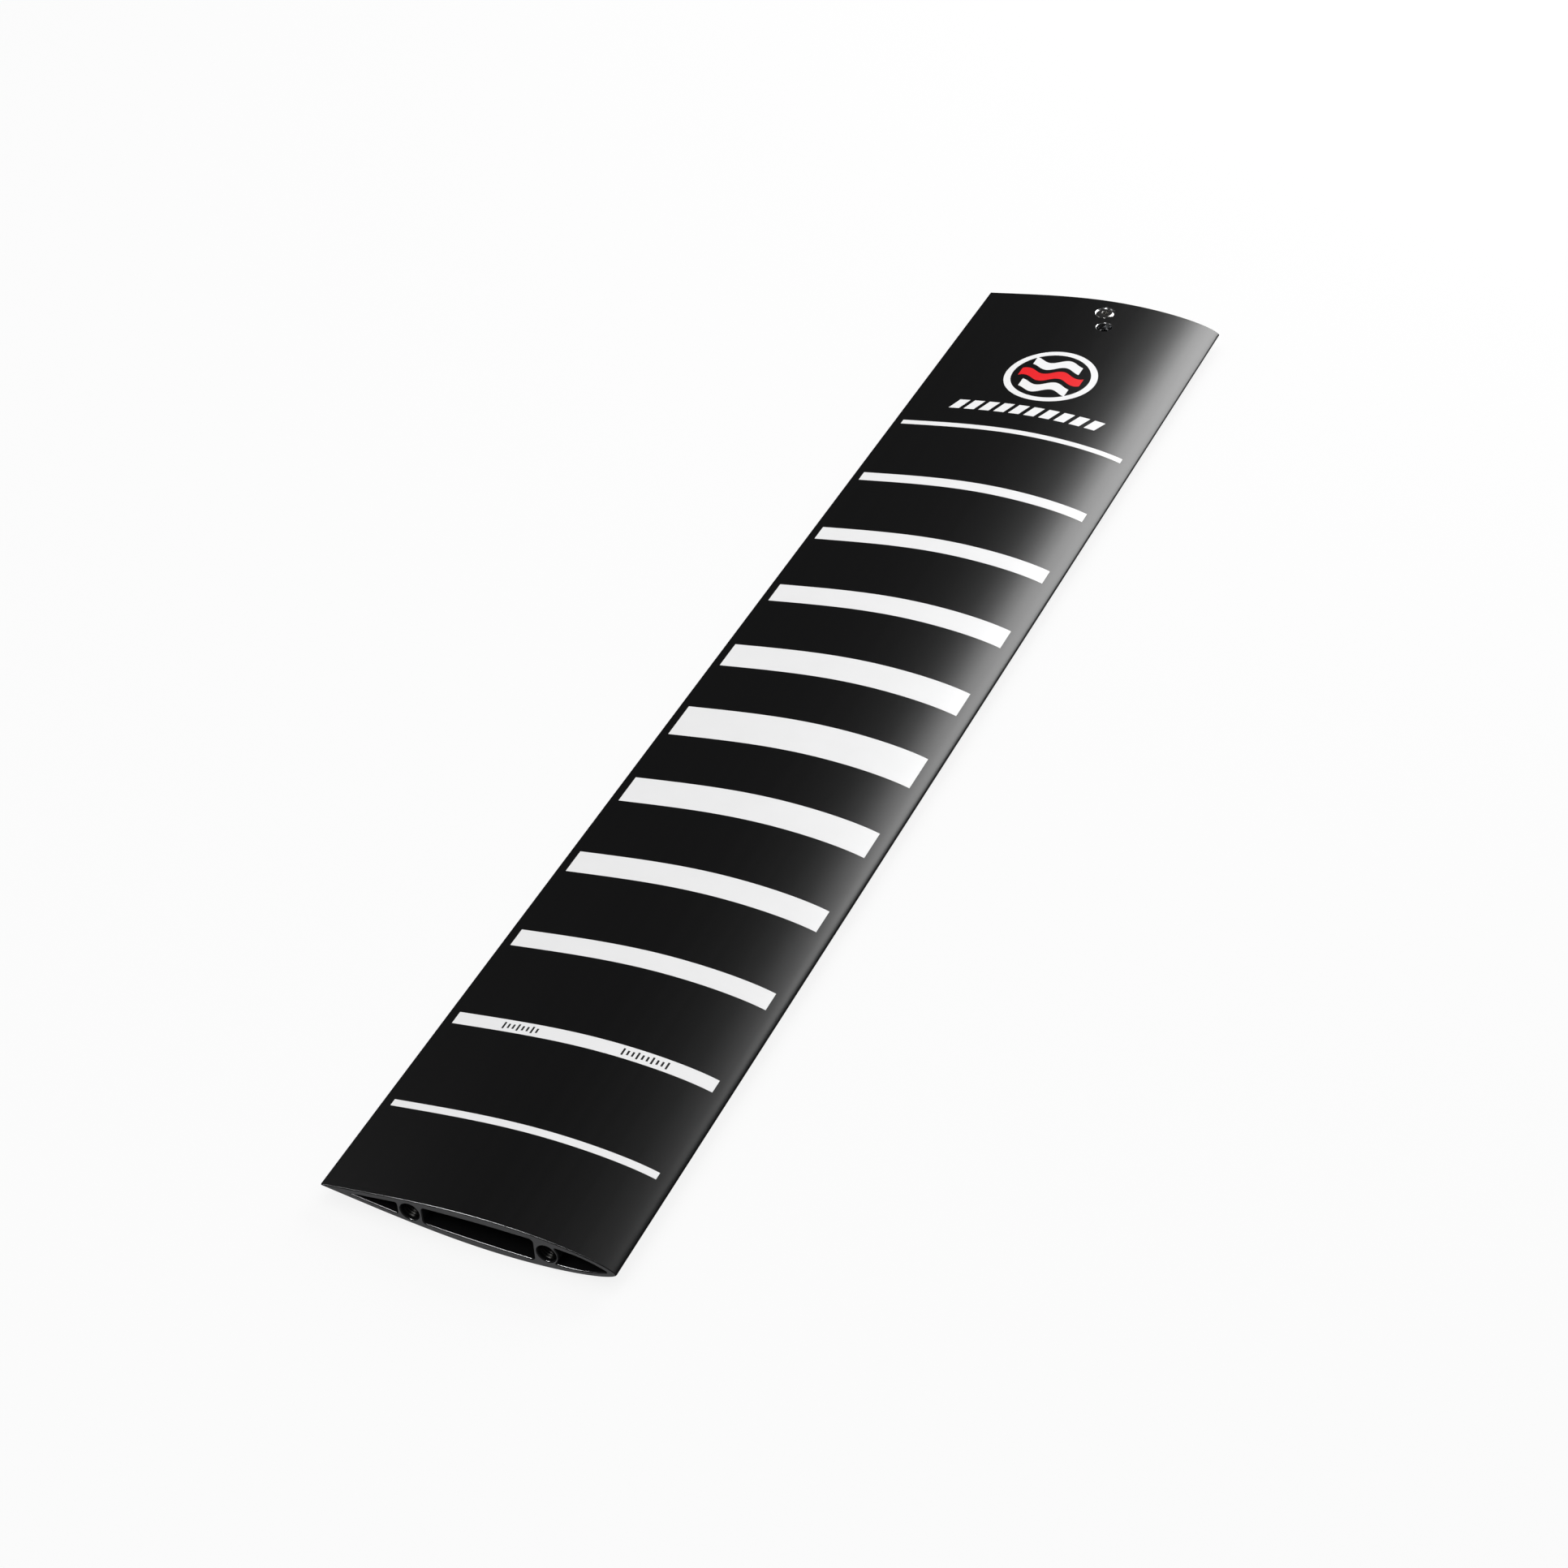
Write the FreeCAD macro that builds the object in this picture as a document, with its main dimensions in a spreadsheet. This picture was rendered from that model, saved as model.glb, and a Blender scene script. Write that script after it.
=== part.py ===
import FreeCAD, Part
import math
import os

import Sketcher

# Hollow aluminium hydrofoil mast, lying on its side as it lies on a bench.
# Section frame while building: X runs from the trailing edge (0) forward to the nose,
# Y runs from the open end (0) to the head end, Z = 0 is the chord plane.
# Every finished piece is then placed so that the origin is at the bottom centre.

doc = FreeCAD.newDocument("HydrofoilMast")
sizes = doc.addObject("Spreadsheet::Sheet", "Sizes")

DRIVING_SIZES = (
    # the extrusion
    ("mast_length", 720.0),
    ("chord", 130.0),
    ("crest_thickness", 17.4),
    ("crest_from_nose", 53.3),
    ("tail_thickness", 0.8),
    ("tail_rise", 1.4),
    ("nose_power", 1.24),
    ("end_chamfer", 0.5),
    # the two round screw ports that run the whole length
    ("rear_port_x", 40.0),
    ("port_spacing", 60.0),
    ("port_bore", 8.4),
    ("port_wall", 1.4),
    # half heights of the cells between the skins
    ("tail_cell_start", 13.4),
    ("tail_cell_half", 3.0),
    ("main_cell_half_rear", 4.2),
    ("main_cell_half_crest", 5.4),
    ("main_cell_half_front", 5.5),
    ("nose_cell_half_rear", 4.5),
    ("nose_cell_half_front", 3.6),
    ("nose_cell_end", 126.4),
    ("cell_corner", 1.6),
    ("cell_crest_radius", 90.0),
    ("tail_cell_point", 0.3),
    ("tail_cell_corner", 0.9),
    ("nose_cell_gap", 0.5),
    ("nose_cell_corner", 0.6),
    ("nose_cell_crest_radius", 30.0),
    ("nose_cell_crest_shift", 2.0),
    # M8 thread inserts in the ports
    ("insert_length", 16.0),
    ("insert_inner", 6.8),
    ("insert_setback", 1.2),
    # tapped block inside the head end and its two cross screws
    ("block_length", 40.0),
    ("block_setback", 3.0),
    ("block_clearance", 0.2),
    ("cross_screw_x", 70.0),
    ("cross_screw_from_head", 12.4),
    ("cross_screw_head", 10.0),
    ("cross_screw_shank", 5.0),
    ("cross_screw_length", 13.0),
    ("cross_screw_socket", 3.0),
    ("cross_screw_clearance", 0.2),
    ("countersink_margin", 0.1),
    ("set_screw_x", 74.6),
    ("set_screw_from_head", 26.4),
    ("set_screw_width", 8.0),
    ("set_screw_hole", 8.4),
    ("set_screw_length", 8.0),
    ("set_screw_drop", 2.6),
    ("set_screw_socket", 4.0),
    ("socket_depth", 2.2),
    # how far a cutting tool stands proud of what it cuts
    ("cut_margin", 1.0),
    # inlaid graphic films
    ("film_thickness", 0.1),
    ("band_tail_inset", 4.4),
    ("band_nose_inset", 6.4),
    ("first_band_y", 583.4),
    ("band_pitch", 53.35),
    ("widest_band", 22.0),
    ("next_band", 17.5),
    ("band_step", 3.45),
    ("emblem_x", 65.0),
    ("emblem_y", 639.0),
    ("emblem_radius", 24.5),
    ("emblem_rim", 3.6),
    ("wave_width", 7.0),
    ("wave_pitch", 11.0),
    ("wave_height", 2.2),
    ("wave_length", 19.0),
    ("wave_clearance", 7.2),
    ("dash_row_y", 604.0),
    ("dash_height", 8.5),
    ("dash_width", 5.6),
    ("dash_pitch", 8.2),
    ("dash_lean", 1.6),
    ("rear_marks_x", 27.0),
    ("front_marks_x", 82.0),
    ("mark_height", 4.0),
    ("short_mark_height", 2.7),
    ("mark_width", 0.9),
    ("mark_pitch", 2.2),
)

BAND_COUNT = 11
DASH_COUNT = 10
MARK_BAND = 10
REAR_MARKS = 8
FRONT_MARKS = 10
LONG_MARK_EVERY = 3
WAVE_STEPS = 12
NOSE_STEPS = 9
TAIL_STEPS = 6
SEAM_STEPS = 5
SLOPE_REACH = 0.05
SIDES = (("upper", 1), ("lower", -1))

for row, (alias, amount) in enumerate(DRIVING_SIZES, start=1):
    sizes.set("A%d" % row, alias)
    sizes.set("B%d" % row, repr(amount))
    sizes.setAlias("B%d" % row, alias)
doc.recompute()


def size(alias):
    return float(sizes.get(alias))


def bind(thing, **expressions):
    """Bind properties to the sheet: a double underscore stands for a dot in the property's name."""
    for name, expression in expressions.items():
        thing.setExpression(name.replace("__", "."), expression)


# ---------------------------------------------------------------- the section

def half_thickness_aft(share):
    """Half thickness behind the crest; share runs from 0 at the tail to 1 at the crest.

    A cubic that leaves the tail at the tail_rise slope and is level at the crest.
    """
    tail = size("tail_thickness") / 2
    slope = size("tail_rise")
    cubic = slope * share + (3 - 2 * slope) * share ** 2 + (slope - 2) * share ** 3
    return tail + (size("crest_thickness") / 2 - tail) * cubic


def skin_point(x):
    """Half thickness of the section at a distance x forward of the trailing edge."""
    crest_x = size("chord") - size("crest_from_nose")
    if x <= crest_x:
        return half_thickness_aft(x / crest_x)
    cosine = (x - crest_x) / size("crest_from_nose")
    return size("crest_thickness") / 2 * (1 - cosine ** 2) ** (size("nose_power") / 2)


def upper_skin(depth):
    """Points of the upper skin from tail to nose tip, moved inward by depth."""
    crest_x = size("chord") - size("crest_from_nose")
    stations = [crest_x * step / TAIL_STEPS for step in range(TAIL_STEPS)]
    for step in range(NOSE_STEPS + 1):
        angle = math.pi / 2 * step / NOSE_STEPS
        stations.append(crest_x + size("crest_from_nose") * math.sin(angle))
    points = [FreeCAD.Vector(x, 0, skin_point(x)) for x in stations]
    return [moved_inward(point, depth) for point in points]


def moved_inward(point, depth):
    if depth == 0:
        return point
    if point.z < 1e-6:
        return FreeCAD.Vector(point.x - depth, 0, 0)
    behind = max(point.x - SLOPE_REACH, 0)
    ahead = point.x + SLOPE_REACH
    slope = (skin_point(ahead) - skin_point(behind)) / (ahead - behind)
    length = math.hypot(1, slope)
    thinnest = size("tail_thickness") / 10
    return FreeCAD.Vector(point.x + slope * depth / length, 0, max(point.z - depth / length, thinnest))


def section_edges(depth=0.0):
    """The aerofoil outline: one smooth curve round the nose, divided at seams, closed by the flat tail."""
    upper = upper_skin(depth)
    lower = [FreeCAD.Vector(p.x, 0, -p.z) for p in reversed(upper[:-1])]
    skin = Part.BSplineCurve()
    skin.interpolate(upper + lower)
    seams = skin.getKnots()[::SEAM_STEPS]
    strips = []
    for start, end in zip(seams, seams[1:]):
        strip = skin.copy()
        strip.segment(start, end)
        strips.append(strip)
    return strips + [Part.LineSegment(lower[-1], upper[0])]


def rounded_outline(corners):
    """Lines and tangent arcs through corners given as (x, z, radius)."""
    count = len(corners)
    starts, ends, arcs = [], [], []
    for index, (x, z, radius) in enumerate(corners):
        here = FreeCAD.Vector(x, 0, z)
        before = FreeCAD.Vector(corners[index - 1][0], 0, corners[index - 1][1])
        after = FreeCAD.Vector(corners[(index + 1) % count][0], 0, corners[(index + 1) % count][1])
        back = (before - here).normalize()
        ahead = (after - here).normalize()
        half_angle = back.getAngle(ahead) / 2
        reach = radius / math.tan(half_angle)
        middle = here + (back + ahead).normalize() * (radius / math.sin(half_angle) - radius)
        ends.append(here + back * reach)
        starts.append(here + ahead * reach)
        arcs.append(Part.Arc(ends[-1], middle, starts[-1]))
    lines = [Part.LineSegment(starts[i], ends[(i + 1) % count]) for i in range(count)]
    return [edge for pair in zip(arcs, lines) for edge in pair]


def mirrored_corners(upper):
    """Close a list of upper corners with their mirror images below the chord plane."""
    lower = [(x, -z, radius) for x, z, radius in reversed(upper) if z > 0]
    return upper + lower


def tail_cell():
    end = size("rear_port_x") - size("port_bore") / 2 - size("port_wall")
    return mirrored_corners([
        (size("tail_cell_start"), 0, size("tail_cell_point")),
        (end, size("tail_cell_half"), size("tail_cell_corner")),
    ])


def main_cell(inset=0.0):
    shell = size("port_bore") / 2 + size("port_wall") + inset
    rear = size("rear_port_x") + shell
    front = size("rear_port_x") + size("port_spacing") - shell
    corner = size("cell_corner")
    middle = (rear + front) / 2
    return mirrored_corners([
        (rear, size("main_cell_half_rear") - inset, corner),
        (middle, size("main_cell_half_crest") - inset, size("cell_crest_radius")),
        (front, size("main_cell_half_front") - inset, corner),
    ])


def nose_cell():
    port = size("rear_port_x") + size("port_spacing")
    shell = size("port_bore") / 2 + size("port_wall")
    half = size("nose_cell_half_rear")
    gap = size("nose_cell_gap")
    rear = port + math.sqrt(shell ** 2 - half ** 2) + gap
    end = size("nose_cell_end")
    crest = (rear + end) / 2 + size("nose_cell_crest_shift")
    return mirrored_corners([
        (port + shell + gap, 0, shell),
        (rear, half, size("nose_cell_corner")),
        (crest, size("nose_cell_half_front"), size("nose_cell_crest_radius")),
        (end, 0, size("nose_cell_corner")),
    ])


# ---------------------------------------------------------------- building blocks

def new_sketch(body, name, edges, station="0"):
    """A sketch on the body's own XZ plane, at a station along Y: sketch x is X and sketch y is Z."""
    sketch = body.newObject("Sketcher::SketchObject", name)
    plane = [item for item in body.Origin.OriginFeatures if item.Role == "XZ_Plane"][0]
    sketch.AttachmentSupport = [(plane, "")]
    sketch.MapMode = "FlatFace"
    upright = FreeCAD.Matrix(1, 0, 0, 0, 0, 0, 1, 0, 0, -1, 0, 0, 0, 0, 0, 1)
    for edge in edges:
        flat = edge.copy()
        flat.transform(upright)
        sketch.addGeometry(flat, False)
    bind(sketch, AttachmentOffset__Base__z="-(%s)" % station)
    return sketch


def cut_through(body, name, sketch):
    """Pocket along the whole length; the volume must drop, or it pointed the wrong way."""
    before = body.Shape.Volume
    pocket = body.newObject("PartDesign::Pocket", name)
    pocket.Profile = sketch
    pocket.Type = "ThroughAll"
    pocket.Midplane = False
    pocket.Reversed = False
    doc.recompute()
    if body.Shape.Volume > before - 1:
        pocket.Reversed = True
        doc.recompute()
    if body.Shape.Volume > before - 1:
        raise RuntimeError(name + " cut nothing")
    return pocket


def cylinder(name, x, y, z, radius, height, axis="Z"):
    """A bound cylinder; x, y, z, radius and height are expressions on the sheet."""
    made = doc.addObject("Part::Cylinder", name)
    if axis == "Y":
        made.Placement.Rotation = FreeCAD.Rotation(FreeCAD.Vector(1, 0, 0), -90)
    bind(made, Radius=radius, Height=height, Placement__Base__x=x, Placement__Base__y=y, Placement__Base__z=z)
    return made


def box(name, x, y, z, length, width, height):
    made = doc.addObject("Part::Box", name)
    bind(made, Length=length, Width=width, Height=height)
    bind(made, Placement__Base__x=x, Placement__Base__y=y, Placement__Base__z=z)
    return made


def boolean(kind, name, base, tool):
    made = doc.addObject("Part::" + kind, name)
    made.Base = base
    made.Tool = tool
    return made


def together(name, members):
    made = doc.addObject("Part::Compound", name)
    made.Links = members
    return made


PLACED = []


def finish(thing, label):
    """Name a finished sub-part and put the origin at the bottom centre of the mast."""
    thing.Label = label
    bind(
        thing,
        Placement__Base__x="-Sizes.chord / 2",
        Placement__Base__y="-Sizes.mast_length / 2",
        Placement__Base__z="Sizes.crest_thickness / 2",
    )
    PLACED.append(thing)
    return thing


# ---------------------------------------------------------------- graphic films

def prism(name, edges):
    """The whole section, extruded over the mast's length."""
    outline = doc.addObject("Part::Feature", name + "Outline")
    outline.Shape = Part.Face(Part.Wire([edge.toShape() for edge in edges]))
    made = doc.addObject("Part::Extrusion", name)
    made.Base = outline
    made.DirMode = "Custom"
    made.Dir = FreeCAD.Vector(0, 1, 0)
    made.Solid = True
    bind(made, LengthFwd="Sizes.mast_length")
    return made


def film_layer():
    """The outermost film_thickness of the skin all round the section."""
    blank = prism("SkinBlank", section_edges())
    core = prism("SkinCore", section_edges(size("film_thickness")))
    return boolean("Cut", "FilmLayer", blank, core)


def side_base(direction):
    """Bottom of a cutter that covers only the upper or only the lower half."""
    return "0" if direction > 0 else "-Sizes.crest_thickness"


def depth_band(layer, number, side, direction):
    """Bands are widest in the middle of the row and step down towards both ends."""
    steps = abs(number - (BAND_COUNT + 1) // 2)
    width = "Sizes.widest_band"
    if steps:
        width = "(Sizes.next_band - %d * Sizes.band_step)" % (steps - 1)
    centre = "(Sizes.first_band_y - %d * Sizes.band_pitch)" % (number - 1)
    cutter = box(
        "BandCutter%02d%s" % (number, side),
        "Sizes.band_tail_inset", centre + " - " + width + " / 2", side_base(direction),
        "Sizes.chord - Sizes.band_tail_inset - Sizes.band_nose_inset", width, "Sizes.crest_thickness",
    )
    return boolean("Common", "Band%02d%s" % (number, side), layer, cutter)


def upright_prism(name, wires, direction):
    """Flat outlines drawn in X and Y, extruded through one half of the section."""
    faces = doc.addObject("Part::Feature", name + "Outline")
    faces.Shape = Part.makeCompound([Part.Face(wire) for wire in wires])
    made = doc.addObject("Part::Extrusion", name)
    made.Base = faces
    made.DirMode = "Custom"
    made.Dir = FreeCAD.Vector(0, 0, direction)
    made.Solid = True
    bind(made, LengthFwd="Sizes.crest_thickness")
    return made


def polygon(points):
    return Part.makePolygon([FreeCAD.Vector(x, y, 0) for x, y in points + points[:1]])


def wave_wire(centre_y):
    """A wave stroke: two parallel wavy edges and two straight ends."""
    reach = size("emblem_radius") - size("wave_clearance")
    offset = centre_y - size("emblem_y")
    half_length = math.sqrt(reach ** 2 - offset ** 2)
    half = size("wave_width") / 2
    middle = []
    for step in range(WAVE_STEPS + 1):
        along = -half_length + 2 * half_length * step / WAVE_STEPS
        lift = size("wave_height") * math.sin(2 * math.pi * along / size("wave_length"))
        middle.append(FreeCAD.Vector(size("emblem_x") + along, centre_y + lift, 0))
    shift = FreeCAD.Vector(0, half, 0)
    top, bottom = Part.BSplineCurve(), Part.BSplineCurve()
    top.interpolate([point + shift for point in middle])
    bottom.interpolate([point - shift for point in middle])
    ends = [
        Part.LineSegment(middle[0] - shift, middle[0] + shift),
        Part.LineSegment(middle[-1] - shift, middle[-1] + shift),
    ]
    return Part.Wire([ends[0].toShape(), top.toShape(), ends[1].toShape(), bottom.toShape()])


def emblem(layer, side, direction):
    """A generic water sign: a ring round three waves, the middle one red."""
    base = side_base(direction)
    centre = ("Sizes.emblem_x", "Sizes.emblem_y", base)
    disc = cylinder("EmblemDisc" + side, *centre, "Sizes.emblem_radius", "Sizes.crest_thickness")
    hole_radius = "Sizes.emblem_radius - Sizes.emblem_rim"
    hole = cylinder("EmblemHole" + side, *centre, hole_radius, "Sizes.crest_thickness")
    ring = boolean("Cut", "EmblemRim" + side, disc, hole)
    pitch = size("wave_pitch")
    outer_rows = [wave_wire(size("emblem_y") + pitch), wave_wire(size("emblem_y") - pitch)]
    white = upright_prism("WhiteWaves" + side, outer_rows, direction)
    red = upright_prism("RedWave" + side, [wave_wire(size("emblem_y"))], direction)
    return {
        "emblem_ring_" + side: boolean("Common", "EmblemRing" + side, layer, ring),
        "emblem_white_waves_" + side: boolean("Common", "EmblemWhite" + side, layer, white),
        "emblem_red_wave_" + side: boolean("Common", "EmblemRed" + side, layer, red),
    }


def dash_row(layer, side, direction):
    """A row of plain slanted dashes under the emblem."""
    lean, wide, tall = size("dash_lean"), size("dash_width"), size("dash_height")
    wires = []
    for index in range(DASH_COUNT):
        x = size("emblem_x") + (index - (DASH_COUNT - 1) / 2) * size("dash_pitch") - wide / 2
        low, high = size("dash_row_y") - tall / 2, size("dash_row_y") + tall / 2
        foot = [(x - lean, low), (x + wide - lean, low)]
        wires.append(polygon(foot + [(x + wide + lean, high), (x + lean, high)]))
    dashes = upright_prism("Dashes" + side, wires, direction)
    return {"emblem_dashes_" + side: boolean("Common", "DashFilm" + side, layer, dashes)}


def length_marks(side, direction):
    """Two groups of ruler ticks that stand on the band nearest the open end but one."""
    centre_y = size("first_band_y") - (MARK_BAND - 1) * size("band_pitch")
    wires = []
    for start_x, count in ((size("rear_marks_x"), REAR_MARKS), (size("front_marks_x"), FRONT_MARKS)):
        for index in range(count):
            tall = size("short_mark_height") if index % LONG_MARK_EVERY else size("mark_height")
            left = start_x + index * size("mark_pitch")
            right = left + size("mark_width")
            low, high = centre_y - tall / 2, centre_y + tall / 2
            wires.append(polygon([(left, low), (right, low), (right, high), (left, high)]))
    return upright_prism("LengthTicks" + side, wires, direction)


def make_films():
    layer = film_layer()
    films = {}
    for side, direction in SIDES:
        ticks = length_marks(side, direction)
        for number in range(1, BAND_COUNT + 1):
            band = depth_band(layer, number, side, direction)
            if number == MARK_BAND:
                films["length_marks_" + side] = boolean("Common", "LengthMarks" + side, band, ticks)
                band = boolean("Cut", "MarkedBand" + side, band, ticks)
            films["depth_band_%02d_%s" % (number, side)] = band
        films.update(emblem(layer, side, direction))
        films.update(dash_row(layer, side, direction))
    return films


# ---------------------------------------------------------------- extrusion

def extruded_blank():
    """The hollow extrusion: padded outline, chamfered ends, three cells and two screw ports."""
    body = doc.addObject("PartDesign::Body", "Extrusion")
    pad = body.newObject("PartDesign::Pad", "FullLength")
    pad.Profile = new_sketch(body, "SkinSketch", section_edges(), "Sizes.end_chamfer")
    pad.Reversed = True
    bind(pad, Length="Sizes.mast_length - 2 * Sizes.end_chamfer")
    doc.recompute()
    if body.Shape.BoundBox.YMin < 0:
        raise RuntimeError("the extrusion runs the wrong way")
    chamfered_end(body, "OpenEnd", "Sizes.end_chamfer", "0")
    chamfered_end(body, "HeadEnd", "Sizes.mast_length - Sizes.end_chamfer", "Sizes.mast_length")
    for name, corners in (("TailCell", tail_cell()), ("MainCell", main_cell()), ("NoseCell", nose_cell())):
        cut_through(body, name, new_sketch(body, name + "Sketch", rounded_outline(corners)))
    ports = new_sketch(body, "PortSketch", [])
    for index, place in enumerate(("Sizes.rear_port_x", "Sizes.rear_port_x + Sizes.port_spacing")):
        x = size("rear_port_x") + index * size("port_spacing")
        radius = size("port_bore") / 2
        ring = Part.Circle(FreeCAD.Vector(x, 0, 0), FreeCAD.Vector(0, 0, 1), radius)
        ports.addGeometry(ring, False)
        ports.addConstraint(Sketcher.Constraint("PointOnObject", index, 3, -1))
        across = ports.addConstraint(Sketcher.Constraint("DistanceX", -1, 1, index, 3, x))
        ports.setExpression("Constraints[%d]" % across, place)
        wide = ports.addConstraint(Sketcher.Constraint("Radius", index, radius))
        ports.setExpression("Constraints[%d]" % wide, "Sizes.port_bore / 2")
    cut_through(body, "ScrewPorts", ports)
    return body


def chamfered_end(body, name, full_station, cut_station):
    """The last stretch of the section, drawn in by the same amount as it is long."""
    loft = body.newObject("PartDesign::AdditiveLoft", name + "Chamfer")
    loft.Profile = new_sketch(body, name + "Full", section_edges(), full_station)
    loft.Sections = [new_sketch(body, name + "Cut", section_edges(size("end_chamfer")), cut_station)]
    loft.Ruled = True
    doc.recompute()


def cross_screw_cut():
    """Countersunk clearance hole for the cross screw, through the upper skin only."""
    x, y = "Sizes.cross_screw_x", "Sizes.mast_length - Sizes.cross_screw_from_head"
    hole_radius = "Sizes.cross_screw_shank / 2 + Sizes.cross_screw_clearance"
    hole = cylinder("CrossHole", x, y, "0", hole_radius, "Sizes.crest_thickness")
    margin = size("countersink_margin")
    top = skin_point(size("cross_screw_x"))
    mouth_radius = "Sizes.cross_screw_head / 2 + Sizes.countersink_margin"
    sink = doc.addObject("Part::Cone", "CrossSink")
    bind(sink, Radius1="Sizes.cross_screw_shank / 2", Radius2=mouth_radius)
    bind(sink, Height="(Sizes.cross_screw_head - Sizes.cross_screw_shank) / 2 + Sizes.countersink_margin")
    bind(sink, Placement__Base__x=x, Placement__Base__y=y)
    sink.Placement.Base.z = top - (size("cross_screw_head") - size("cross_screw_shank")) / 2 - margin
    mouth = cylinder("CrossMouth", x, y, repr(top - margin), mouth_radius, "2 * Sizes.cut_margin")
    return together("CrossScrewCut", [hole, sink, mouth])


def mast_extrusion(films):
    body = extruded_blank()
    set_hole = cylinder(
        "SetScrewHole", "Sizes.set_screw_x", "Sizes.mast_length - Sizes.set_screw_from_head", "0",
        "Sizes.set_screw_hole / 2", "Sizes.crest_thickness",
    )
    drilled = boolean("Cut", "DrilledExtrusion", body, cross_screw_cut())
    drilled = boolean("Cut", "DrilledExtrusion2", drilled, set_hole)
    recessed = boolean("Cut", "RecessedExtrusion", drilled, together("AllFilms", list(films.values())))
    return finish(recessed, "mast_extrusion")


# ---------------------------------------------------------------- fittings

def thread_insert(label, port_x, start_y):
    """Wire thread insert, kept as the sleeve between its outer and its thread diameter."""
    place, length = (port_x, start_y, "0"), "Sizes.insert_length"
    outer = cylinder(label + "_outer", *place, "Sizes.port_bore / 2", length, "Y")
    inner = cylinder(label + "_inner", *place, "Sizes.insert_inner / 2", length, "Y")
    return finish(boolean("Cut", label + "_sleeve", outer, inner), label)


def thread_inserts():
    rear, front = "Sizes.rear_port_x", "Sizes.rear_port_x + Sizes.port_spacing"
    low = "Sizes.insert_setback"
    high = "Sizes.mast_length - Sizes.insert_setback - Sizes.insert_length"
    thread_insert("thread_insert_open_end_rear", rear, low)
    thread_insert("thread_insert_open_end_front", front, low)
    thread_insert("thread_insert_head_end_rear", rear, high)
    thread_insert("thread_insert_head_end_front", front, high)


def socket(name, x, y, across, top, depth):
    """Hexagon socket recess, pointing down from top."""
    made = doc.addObject("Part::Prism", name)
    made.Polygon = 6
    bind(made, Circumradius=across + " / sqrt(3)", Height=depth + " + Sizes.cut_margin")
    bind(made, Placement__Base__x=x, Placement__Base__y=y)
    made.Placement.Base.z = top - size("socket_depth")
    return made


def cross_screw():
    """Countersunk socket screw through the upper skin into the head block."""
    x, y = "Sizes.cross_screw_x", "Sizes.mast_length - Sizes.cross_screw_from_head"
    top = skin_point(size("cross_screw_x")) - size("countersink_margin")
    cone_height = (size("cross_screw_head") - size("cross_screw_shank")) / 2
    cone_expression = "(Sizes.cross_screw_head - Sizes.cross_screw_shank) / 2"
    shank = cylinder(
        "CrossShank", x, y, repr(top - size("cross_screw_length")),
        "Sizes.cross_screw_shank / 2", "Sizes.cross_screw_length - " + cone_expression,
    )
    head = doc.addObject("Part::Cone", "CrossHead")
    bind(head, Radius1="Sizes.cross_screw_shank / 2", Radius2="Sizes.cross_screw_head / 2")
    bind(head, Height=cone_expression)
    bind(head, Placement__Base__x=x, Placement__Base__y=y)
    head.Placement.Base.z = top - cone_height
    solid = boolean("Fuse", "CrossSolid", shank, head)
    recess = socket("CrossSocket", x, y, "Sizes.cross_screw_socket", top, "Sizes.socket_depth")
    return finish(boolean("Cut", "CrossScrew", solid, recess), "cross_screw")


def set_screw():
    """Socket set screw in the head block, sunk below the skin."""
    x, y = "Sizes.set_screw_x", "Sizes.mast_length - Sizes.set_screw_from_head"
    top = skin_point(size("set_screw_x")) - size("set_screw_drop")
    bottom = repr(top - size("set_screw_length"))
    plug = cylinder("SetPlug", x, y, bottom, "Sizes.set_screw_width / 2", "Sizes.set_screw_length")
    recess = socket("SetSocket", x, y, "Sizes.set_screw_socket", top, "Sizes.socket_depth")
    return finish(boolean("Cut", "SetScrew", plug, recess), "set_screw")


def head_block():
    """Tapped block that fills the main cell at the head end and holds the cross screws."""
    body = doc.addObject("PartDesign::Body", "HeadBlock")
    outline = rounded_outline(main_cell(size("block_clearance")))
    station = "Sizes.mast_length - Sizes.block_setback - Sizes.block_length"
    pad = body.newObject("PartDesign::Pad", "BlockLength")
    pad.Profile = new_sketch(body, "BlockSketch", outline, station)
    pad.Reversed = True
    bind(pad, Length="Sizes.block_length")
    doc.recompute()
    cross = cylinder(
        "BlockCrossHole", "Sizes.cross_screw_x", "Sizes.mast_length - Sizes.cross_screw_from_head",
        "-Sizes.crest_thickness", "Sizes.cross_screw_shank / 2", "2 * Sizes.crest_thickness",
    )
    tapped = cylinder(
        "BlockSetHole", "Sizes.set_screw_x", "Sizes.mast_length - Sizes.set_screw_from_head",
        "-Sizes.crest_thickness", "Sizes.set_screw_width / 2", "2 * Sizes.crest_thickness",
    )
    return finish(boolean("Cut", "DrilledBlock", body, together("BlockHoles", [cross, tapped])), "head_block")


# ---------------------------------------------------------------- assembly, checks and export

def check_model():
    doc.recompute()
    for thing in doc.Objects:
        if "Invalid" in thing.State or "Error" in thing.State:
            raise RuntimeError("%s is %s" % (thing.Label, thing.State))
    for thing in PLACED:
        if thing.Shape.isNull() or not thing.Shape.isValid():
            raise RuntimeError(thing.Label + " has no valid shape")
        if not thing.Shape.Solids:
            raise RuntimeError(thing.Label + " has no solid")


def export_parts():
    os.makedirs("parts", exist_ok=True)
    for thing in PLACED:
        thing.Shape.exportStep("parts/%s.step" % thing.Label)
        box_of = thing.Shape.BoundBox
        print("%-34s solids %2d volume %10.1f z %.2f..%.2f" % (
            thing.Label, len(thing.Shape.Solids), thing.Shape.Volume, box_of.ZMin, box_of.ZMax))


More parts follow.
